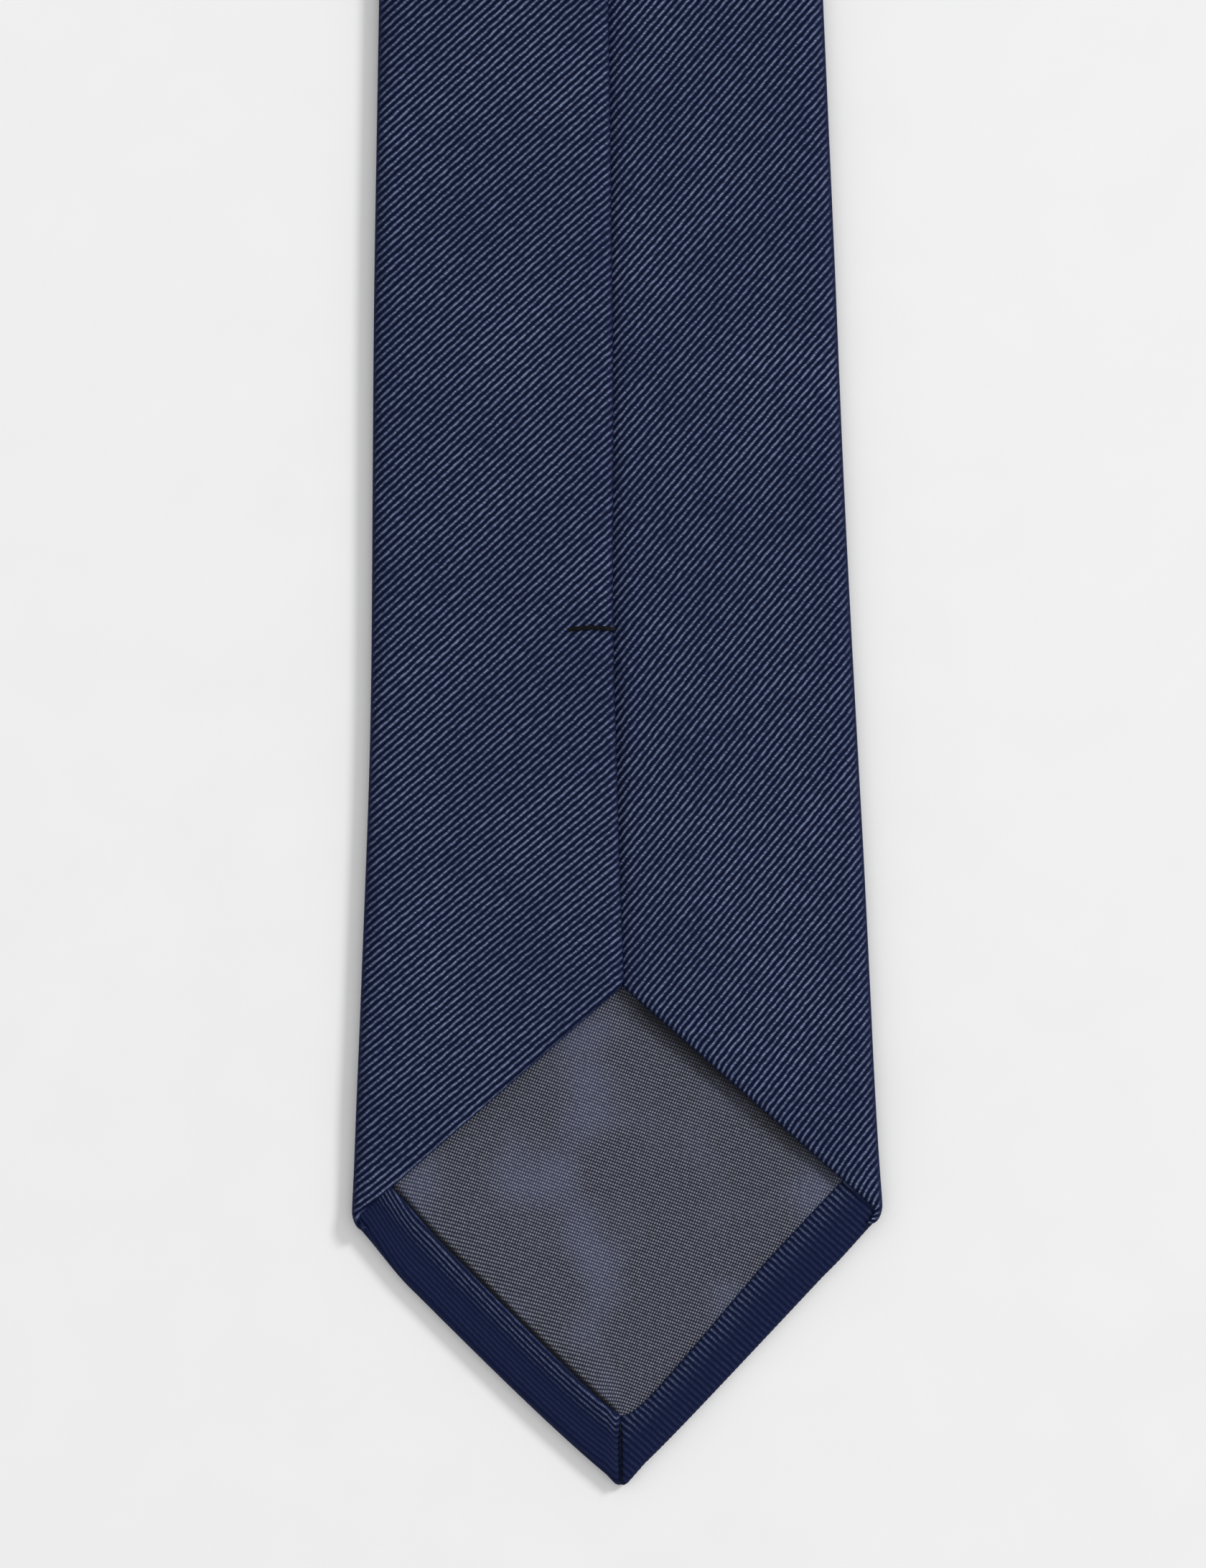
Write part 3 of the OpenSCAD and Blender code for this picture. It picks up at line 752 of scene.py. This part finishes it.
def thread(name, runs, radius, place, material, body, slot, node):
    """Two-ply threads along runs of points in millimetres. Each run is smoothed, twisted and tapers to
    nothing at both ends, where it goes into the cloth."""
    verts, faces = [], []
    for run in runs:
        run = np.asarray(run, float)
        lengths = np.concatenate([[0], np.cumsum(np.linalg.norm(np.diff(run, axis=0), axis=1))])
        count = max(5, int(lengths[-1] / (radius * 0.9)) + 1)
        along = np.linspace(0, lengths[-1], count)
        line = np.stack([np.interp(along, lengths, run[:, k]) for k in range(3)], -1)
        for _ in range(3):
            line[1:-1] = (line[:-2] + 2 * line[1:-1] + line[2:]) / 4
        ahead = np.gradient(line, axis=0)
        ahead /= np.linalg.norm(ahead, axis=1, keepdims=True)
        aside = np.cross(ahead, [0, 0, 1])
        flat = np.linalg.norm(aside, axis=1) < 0.2
        aside[flat] = np.cross(ahead[flat], [1, 0, 0])
        aside /= np.linalg.norm(aside, axis=1, keepdims=True)
        above = np.cross(aside, ahead)
        taper = np.sqrt(np.clip(np.minimum(along, along[-1] - along) / (1.5 * radius), 0.02, 1))
        first = sum(len(v) for v in verts)
        turns = np.arange(THREAD_SIDES) * 2 * math.pi / THREAD_SIDES
        ply = 1 + PLY_RELIEF * np.cos(2 * (turns[None] - along[:, None] / radius * 0.75))
        ring = (radius * taper[:, None] * ply)[..., None]
        loop = aside[:, None] * np.cos(turns)[None, :, None] + above[:, None] * np.sin(turns)[None, :, None]
        verts.append((line[:, None] + ring * loop).reshape(-1, 3))
        for i in range(count - 1):
            for j in range(THREAD_SIDES):
                a, b = first + i * THREAD_SIDES + j, first + i * THREAD_SIDES + (j + 1) % THREAD_SIDES
                faces.append([a, a + THREAD_SIDES, b + THREAD_SIDES, b])
        faces.append([first + j for j in range(THREAD_SIDES)])
        faces.append([first + (count - 1) * THREAD_SIDES + j for j in reversed(range(THREAD_SIDES))])
    mesh = bpy.data.meshes.new(name)
    mesh.from_pydata(place(np.concatenate(verts)).tolist(), [], faces)
    piece = finish_shading(new_piece(name, mesh, material))
    belong(piece, body, slot, node)


def over_panel(b, x, y):
    """Top of the silk at a place on the upper panel."""
    x, y = np.array([x], float), np.array([y], float)
    return float(panel_height(b, b["upper"], x, y)[0]) + CLOTH / 2


def tack_runs(b):
    """Three strands side by side, arched over the upper panel's edge down to the lower one."""
    s, y = b["upper"], b["tack_y"]
    edge = -s * 0.4
    start = s * 6.3 * b["half"] / FRONT["half"]
    runs = []
    for k in (-1, 0, 1):
        run = [(start, y + 0.1 * k, over_panel(b, start, y) - 0.35)]
        for share in np.linspace(0.04, 0.9, 8):
            x = start + (edge - start) * share
            bow = 0.3 * math.sin(math.pi * share)
            run.append((x, y + 0.16 * k + bow, over_panel(b, x, y) + 0.14 + 0.1 * math.sin(math.pi * share)))
        run.append((edge - s * 0.45, y + 0.1 * k, over_panel(b, edge, y) - 0.5))
        run.append((edge - s * 0.6, y + 0.1 * k, over_panel(b, edge, y) - 1.1))
        runs.append(run)
    return runs


def mitre_runs(b):
    """The thread that closes the mitre. It is laced to and fro across the line where the two hems meet, so
    tightly that it shows as one dark wavering line."""
    top = b["hem"] / math.cos(math.atan2(b["corner_y"], b["half"])) - 0.1
    rows = np.arange(0.5, top, 0.36)
    lace = [(0.1 * (-1) ** k, y, HEM_Z - 0.1 + 0.05 * math.sin(1.7 * k)) for k, y in enumerate(rows)]
    return [[(0, 0.4, HEM_Z - 0.5), *lace, (0, top + 0.15, HEM_Z - 0.5)]]


FELL_PITCH = 3.0


def fell_runs(b):
    """Short stitches over the hem's inner edge, about FELL_PITCH apart."""
    slope = math.atan2(b["corner_y"], b["half"])
    runs = []
    for side in (-1, 1):
        for u in np.arange(0.08, 0.88, FELL_PITCH * math.cos(slope) / b["half"]):
            over, under = (tip_plan(b, side, [u], b["hem"] + past)[0] for past in (-0.4, 0.35))
            middle = (over + under) / 2
            runs.append([(*over, HEM_Z - 0.05), (*middle, HEM_Z + 0.02), (*under, HEM_Z - 0.35)])
    return runs


SLIP_PITCH = 16.0


def slip_runs(b):
    """The slip stitch that closes the back: long loose stitches between the two panels, under the edge."""
    runs = []
    for y in np.arange(b["tack_y"] + 5, b["end_y"] - SLIP_PITCH, SLIP_PITCH):
        runs.append([(b["upper"] * (1.6 + 0.3 * math.sin(math.pi * k / 6)), y + 13.5 * k / 6, 3.05)
                     for k in range(7)])
    return runs


JOIN_PITCH = 2.4


def join_runs(b):
    """Running stitches of the slanted seam between the blade and the neck piece, inside the wrap."""
    runs = []
    for x in np.arange(-18.6, 18.6, JOIN_PITCH):
        runs.append([(x + k * 0.55, b["join_y"] + (x + k * 0.55) * JOIN_SLOPE, 2.52) for k in range(4)])
    return runs


def sew(b, body, place):
    """All the threads of one blade, with the radius of each."""
    for piece, runs, radius, material, slot, node in (
            ("bar_tack", tack_runs(b), 0.15, BLACK_THREAD, "tack_thread", "bar_tack"),
            ("mitre", mitre_runs(b), 0.1, BLACK_THREAD, "sewing_thread", "mitre_stitches"),
            ("fell", fell_runs(b), 0.07, NAVY_THREAD, "sewing_thread", "tipping_stitches"),
            ("slip", slip_runs(b), 0.12, BLACK_THREAD, "sewing_thread", "slip_stitch"),
            ("join", join_runs(b), 0.09, NAVY_THREAD, "sewing_thread", "join_stitches")):
        thread(f"{body}_{piece}_thread", runs, radius, place, material, body, slot, f"{body}_{node}")


sew(FRONT, "front", in_front)

# ---------------------------------------------------------------------------------------------
# NECK. The band that goes under the collar: the same silk, joined to both blades by slanted
# seams and folded in half at the back of the neck, where it turns over on itself.
# ---------------------------------------------------------------------------------------------
JOIN_GAP = 0.12


def band_grids(b):
    """The wrap from the slanted join to the fold at the back of the neck."""
    ys = np.linspace(b["join_y"] + JOIN_GAP, b["end_y"], int((b["end_y"] - b["join_y"]) / 3.5))
    skew = JOIN_SLOPE * (1 - smooth(b["join_y"], b["join_y"] + 60, ys))
    sides = [side_grid(b, side, ys, skew) for side in (-1, 1)]
    grids = [(points, cloth, side > 0) for side, (points, cloth) in zip((-1, 1), sides)]
    return grids + [(*face_grid(*(points[:, 0] for points, _ in sides)), True)]


TURN_ANGLES = 18
# How much narrower, as a share, and how much slacker the turn is halfway round.
TURN_NARROWING = 0.07
TURN_SLACK = 0.15
# The height of the fold's axis.
FOLD_Z = STACK_TOP * 1000 / 2


def turn_grids(is_face):
    """The turn at the back of the neck: the end of the front half's band swept half a turn over the fold,
    either its face, up to the middle of the side folds, or its back. It is a little narrower and slacker
    halfway round."""
    end = np.array([FRONT["end_y"] - 0.01, FRONT["end_y"]])
    grids = []
    angles = np.linspace(0, math.pi, TURN_ANGLES + 1)[:, None]
    sides = [side_grid(FRONT, side, end, 0 * end) for side in (-1, 1)]
    for side, (points, cloth) in zip((-1, 1), sides):
        section, flat = points[1], cloth[1]
        outer = ROLL_STEPS // 2
        part = slice(0, outer + 1) if is_face else slice(outer, None)
        grids.append((section[part], flat[part], side > 0))
    if is_face:
        points, cloth = face_grid(*(points[1:2, 0] for points, _ in sides))
        grids.append((points[0], cloth[0], True))
    swept = []
    for section, flat, flip in grids:
        reach = FOLD_Z - section[None, :, 2]
        halfway = np.sin(angles)
        across = section[None, :, 0] * (1 - TURN_NARROWING * halfway)
        radius = reach + TURN_SLACK * halfway * smooth(2.4, 1.2, reach)
        y, z = FRONT["end_y"] + radius * np.sin(angles), FOLD_Z - radius * np.cos(angles)
        points = np.stack([across, y, z], -1)
        arc = angles * (FOLD_Z - FACE_Z) * np.ones_like(reach)
        cloth = np.stack([np.broadcast_to(flat[None, :, 0], arc.shape), flat[None, :, 1] + arc], -1)
        swept.append((points, cloth, flip))
    return swept


neck_front = cloth_object("neck_silk_front_half", band_grids(FRONT), in_front, CLOTH, NAVY_TWILL)
belong(neck_front, "front", "shell_silk", "neck_shell_front")

tail_band = []
ALONG_BOTH = FRONT["end_y"] + TAIL["end_y"] + math.pi * (FOLD_Z - FACE_Z)
for points, cloth, flip in band_grids(TAIL):
    tail_band.append((points, np.array([0, ALONG_BOTH]) - cloth, flip))
neck_tail = cloth_object("neck_silk_tail_half", tail_band, in_tail, CLOTH, NAVY_TWILL)
belong(neck_tail, "tail", "shell_silk", "neck_shell_tail")

# The turn's face bends over a wider arc than its back. Both are centred on the fold's height.
for name, is_face, bend in (("neck_turn_face", True, 3.2), ("neck_turn_back", False, 1.0)):
    turn = cloth_object(name, turn_grids(is_face), in_front, CLOTH, NAVY_TWILL)
    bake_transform(turn)

# ---------------------------------------------------------------------------------------------
# TAIL BLADE. The narrow blade is made in the same way as the front one and lies face up over it:
# silk shell, felt, tipping and stitching.
# ---------------------------------------------------------------------------------------------
tail_shell_grids, tail_flap_grids = blade_shell(TAIL)
tail_shell = cloth_object("tail_shell_silk", tail_shell_grids + tail_flap_grids, in_tail, CLOTH, NAVY_TWILL)
belong(tail_shell, "tail", "shell_silk", "tail_shell")

tail_felt = loft("tail_interlining_felt", interlining_rings(TAIL), in_tail, WOOL_FELT)
belong(tail_felt, "tail", "interlining_wool", "tail_interlining")

tail_tipping = cloth_object("tail_tipping_lining", [tipping_grid(TAIL)], in_tail, LINING_CLOTH,
                            CHARCOAL_LINING)
belong(tail_tipping, "tail", "tipping", "tail_tipping")

sew(TAIL, "tail", in_tail)

# ---------------------------------------------------------------------------------------------
# KEEPER LOOP. A folded band of the same silk across the back of the front blade, for the tail to
# go through. Each end lies flat on its panel and is caught down with two short stitches.
# ---------------------------------------------------------------------------------------------
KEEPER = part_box("keeper_loop")
KEEPER_LOW_Y = (KEEPER[0][1] - FRONT_TIP_Y) * 1000
KEEPER_LONG = (KEEPER[1][1] - KEEPER[0][1]) * 1000
KEEPER_HALF = KEEPER[1][0] * 1000 - 0.3
KEEPER_TOP = KEEPER[1][2] * 1000 - 0.35
KEEPER_THICK = 0.5
KEEPER_CLOTH = 0.24
FOOT = 4.2


def keeper_line():
    """The band's middle line across the tie, from the left foot over to the right one."""
    ends = []
    for side in (-1, 1):
        x = np.array([side * (KEEPER_HALF - FOOT)])
        ends.append(float(panel_height(FRONT, side, x, np.array([KEEPER_LOW_Y + 6]))[0]) + CLOTH / 2 + 0.3)
    inner = KEEPER_HALF - FOOT
    line = [(-KEEPER_HALF, ends[0] - 0.12), (-KEEPER_HALF + 2, ends[0] - 0.04)]
    for turn in np.linspace(0, math.pi, 41):
        foot = ends[0] + (ends[1] - ends[0]) * turn / math.pi
        x = -inner * math.copysign(abs(math.cos(turn)) ** 0.5, math.cos(turn))
        line.append((x, foot + (KEEPER_TOP - foot) * math.sin(turn) ** 0.75))
    return line + [(KEEPER_HALF - 2, ends[1] - 0.04), (KEEPER_HALF, ends[1] - 0.12)], ends


def keeper_grid():
    """A flat tube of silk, wrapped round the band's middle line."""
    line, _ = keeper_line()
    line = np.asarray(line)
    ahead = np.gradient(line, axis=0)
    ahead /= np.linalg.norm(ahead, axis=1, keepdims=True)
    up = np.stack([-ahead[:, 1], ahead[:, 0]], -1)
    run = np.concatenate([[0], np.cumsum(np.linalg.norm(np.diff(line, axis=0), axis=1))])
    turns = np.linspace(-math.pi, math.pi, 37)
    across = KEEPER_LOW_Y + KEEPER_LONG / 2 + KEEPER_LONG / 2 * np.sign(np.sin(turns)) * (
        np.abs(np.sin(turns)) ** 0.35)
    lift = KEEPER_THICK / 2 * np.sign(np.cos(turns)) * np.abs(np.cos(turns)) ** 0.6
    x = line[:, None, 0] + up[:, None, 0] * lift[None]
    z = line[:, None, 1] + up[:, None, 1] * lift[None]
    y = np.broadcast_to(across[None], x.shape)
    cloth = np.stack([np.broadcast_to(run[:, None], x.shape), y], -1)
    return np.stack([x, y, z], -1), cloth


keeper = cloth_object("keeper_loop_silk", [(*keeper_grid(), True)], in_front, KEEPER_CLOTH, NAVY_TWILL)
belong(keeper, "front", "shell_silk", "keeper_loop")

keeper_runs = []
for side, foot_z in zip((-1, 1), keeper_line()[1]):
    for y in (2.2, KEEPER_LONG - 2.2):
        x = side * (KEEPER_HALF - 1.2)
        arch = ((-0.9, -0.2), (-0.6, 0.35), (0.6, 0.3), (0.9, -0.3))
        keeper_runs.append([(x + aside, KEEPER_LOW_Y + y, foot_z + up) for aside, up in arch])
thread("keeper_thread", keeper_runs, 0.12, in_front, BLACK_THREAD, "front", "sewing_thread",
       "keeper_stitches")

# ---------------------------------------------------------------------------------------------
# CARE LABEL. A small blank satin label, sewn along its two short sides to the upper panel.
# ---------------------------------------------------------------------------------------------
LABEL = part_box("care_label")
LABEL_CLOTH = 0.18
LABEL_RIB = 0.3


def satin_ribbon(name, pale, dark):
    """Polyester satin ribbon: smooth off-white floats with fine ribs across, and a soft shine."""
    material, t = new_material(name)
    mm = cloth_mm(t)
    run = add(t, "VectorMath", {0: mm.outputs[0], 1: (0, 2 * math.pi / LABEL_RIB, 0)},
              operation="DOT_PRODUCT")
    wave = add(t, "Math", {0: run.outputs["Value"]}, operation="SINE")
    grain = add(t, "TexNoise", {"Vector": mm.outputs[0], "Scale": 2.0, "Detail": 3.0},
                noise_dimensions="2D")
    share = add(t, "Math", {0: wave.outputs[0], 1: 0.25, 2: grain.outputs[0]},
                operation="MULTIPLY_ADD", use_clamp=True)
    colour = add(t, "Mix", {0: share.outputs[0], 6: linear(dark), 7: linear(pale)}, data_type="RGBA")
    bump = add(t, "Bump", {"Height": wave.outputs[0], "Strength": 0.3, "Distance": 0.00004})
    shader = add(t, "BsdfPrincipled",
                 {"Base Color": colour.outputs[2], "Roughness": 0.35, "Anisotropic": 0.4,
                  "Normal": bump.outputs[0]})
    add(t, "OutputMaterial", {"Surface": shader.outputs[0]})
    return material


OFF_WHITE_SATIN = satin_ribbon("off-white satin ribbon", "#edeae2", "#cfcabd")


def label_grid():
    """The label lies on the panel, with its long sides a little lifted between the stitched ends."""
    low_x, high_x = LABEL[0][0] * 1000, LABEL[1][0] * 1000
    low_y, high_y = ((LABEL[k][1] - FRONT_TIP_Y) * 1000 for k in (0, 1))
    x, y = np.meshgrid(np.linspace(low_x, high_x, 41), np.linspace(low_y, high_y, 35))
    z = panel_height(FRONT, -1, x.reshape(-1), y.reshape(-1)).reshape(x.shape) + CLOTH / 2 + 0.14
    across, along = (x - low_x) / (high_x - low_x), (y - low_y) / (high_y - low_y)
    z = z + 0.25 * np.sin(math.pi * along) * (0.4 + 0.6 * (2 * across - 1) ** 4)
    return np.stack([x, y, z], -1), np.stack([x, y], -1)


label_points, label_cloth = label_grid()
label = cloth_object("care_label_satin", [(label_points, label_cloth, False)], in_front, LABEL_CLOTH,
                     OFF_WHITE_SATIN)
belong(label, "front", "label_satin", "care_label")

WHITE_THREAD = spun_thread("off-white sewing thread, spun", "#b9b4a8", "#e9e6dd")
label_runs = []
for row, inside in ((0, 1), (-1, -1)):
    edge = label_points[row]
    for k in range(1, len(edge) - 3, 5):
        a, b = edge[k] + [0, inside, 0.02], edge[k + 3] + [0, inside, 0.02]
        label_runs.append([a, (a * 0.75 + b * 0.25) + [0, 0, 0.16], (a * 0.25 + b * 0.75) + [0, 0, 0.16], b])
thread("label_thread", label_runs, 0.09, in_front, WHITE_THREAD, "front", "sewing_thread", "label_stitches")

# ---------------------------------------------------------------------------------------------
# FLOOR. A pale, plain, matt surface under the tie.
# ---------------------------------------------------------------------------------------------
PALE_FLOOR, t = new_material("pale matt floor")
speck = add(t, "TexNoise", {"Scale": 900.0, "Detail": 2.0})
tone = add(t, "Mix", {0: speck.outputs[0], 6: linear("#f2f2f2"), 7: linear("#f6f6f6")},
           data_type="RGBA")
shade = add(t, "BsdfDiffuse", {"Color": tone.outputs[2]})
add(t, "OutputMaterial", {"Surface": shade.outputs[0]})
floor_mesh = bpy.data.meshes.new("floor")
floor_mesh.from_pydata([(-6, -6, 0), (6, -6, 0), (6, 6, 0), (-6, 6, 0)], [], [(0, 1, 2, 3)])
floor = new_piece("floor", floor_mesh, PALE_FLOOR)

# ---------------------------------------------------------------------------------------------
# LIGHT. An even white surround, and one large soft lamp from the upper right.
# ---------------------------------------------------------------------------------------------
world = bpy.data.worlds.new("white studio")
bpy.context.scene.world = world
world.use_nodes = True
surround = world.node_tree.nodes["Background"]
surround.inputs["Color"].default_value = (1, 1, 1, 1)
surround.inputs["Strength"].default_value = 0.69

# The middle of the view, placed by millimetres from the front tip.
VIEW_MIDDLE = in_front([-1.28, 105.75, 0])
LAMP_DISTANCE = 4.0
LAMP_SIZE = 0.86
LAMP_WATTS = 81.0
LAMP_HEADING, LAMP_HEIGHT = math.radians(35), math.radians(32)
lamp_data = bpy.data.lights.new("soft key", "AREA")
lamp_data.shape = "DISK"
lamp_data.size = LAMP_SIZE
lamp_data.energy = LAMP_WATTS
lamp = bpy.data.objects.new("soft key", lamp_data)
bpy.context.collection.objects.link(lamp)
flat_reach = LAMP_DISTANCE * math.cos(LAMP_HEIGHT)
lamp.location = VIEW_MIDDLE + [flat_reach * math.cos(LAMP_HEADING), flat_reach * math.sin(LAMP_HEADING),
                               LAMP_DISTANCE * math.sin(LAMP_HEIGHT)]
lamp.rotation_euler = (math.pi / 2 - LAMP_HEIGHT, 0, math.pi / 2 + LAMP_HEADING)

# ---------------------------------------------------------------------------------------------
# CAMERA. Straight above the back of the front blade, a long way up, turned a little.
# ---------------------------------------------------------------------------------------------
# Length of floor from the top of the view to its bottom, and the camera's turn about its own axis.
VIEW_HIGH = 0.2364
CAMERA_TURN = -math.radians(0.77)
camera_data = bpy.data.cameras.new("camera")
camera_data.sensor_fit = "VERTICAL"
camera_data.sensor_height = 24
camera_data.lens = 150
camera = bpy.data.objects.new("camera", camera_data)
bpy.context.collection.objects.link(camera)
camera.location = (VIEW_MIDDLE[0], VIEW_MIDDLE[1], VIEW_HIGH * camera_data.lens / camera_data.sensor_height)
camera.rotation_euler = (0, 0, CAMERA_TURN)
bpy.context.scene.camera = camera
bpy.context.scene.view_settings.view_transform = "Standard"
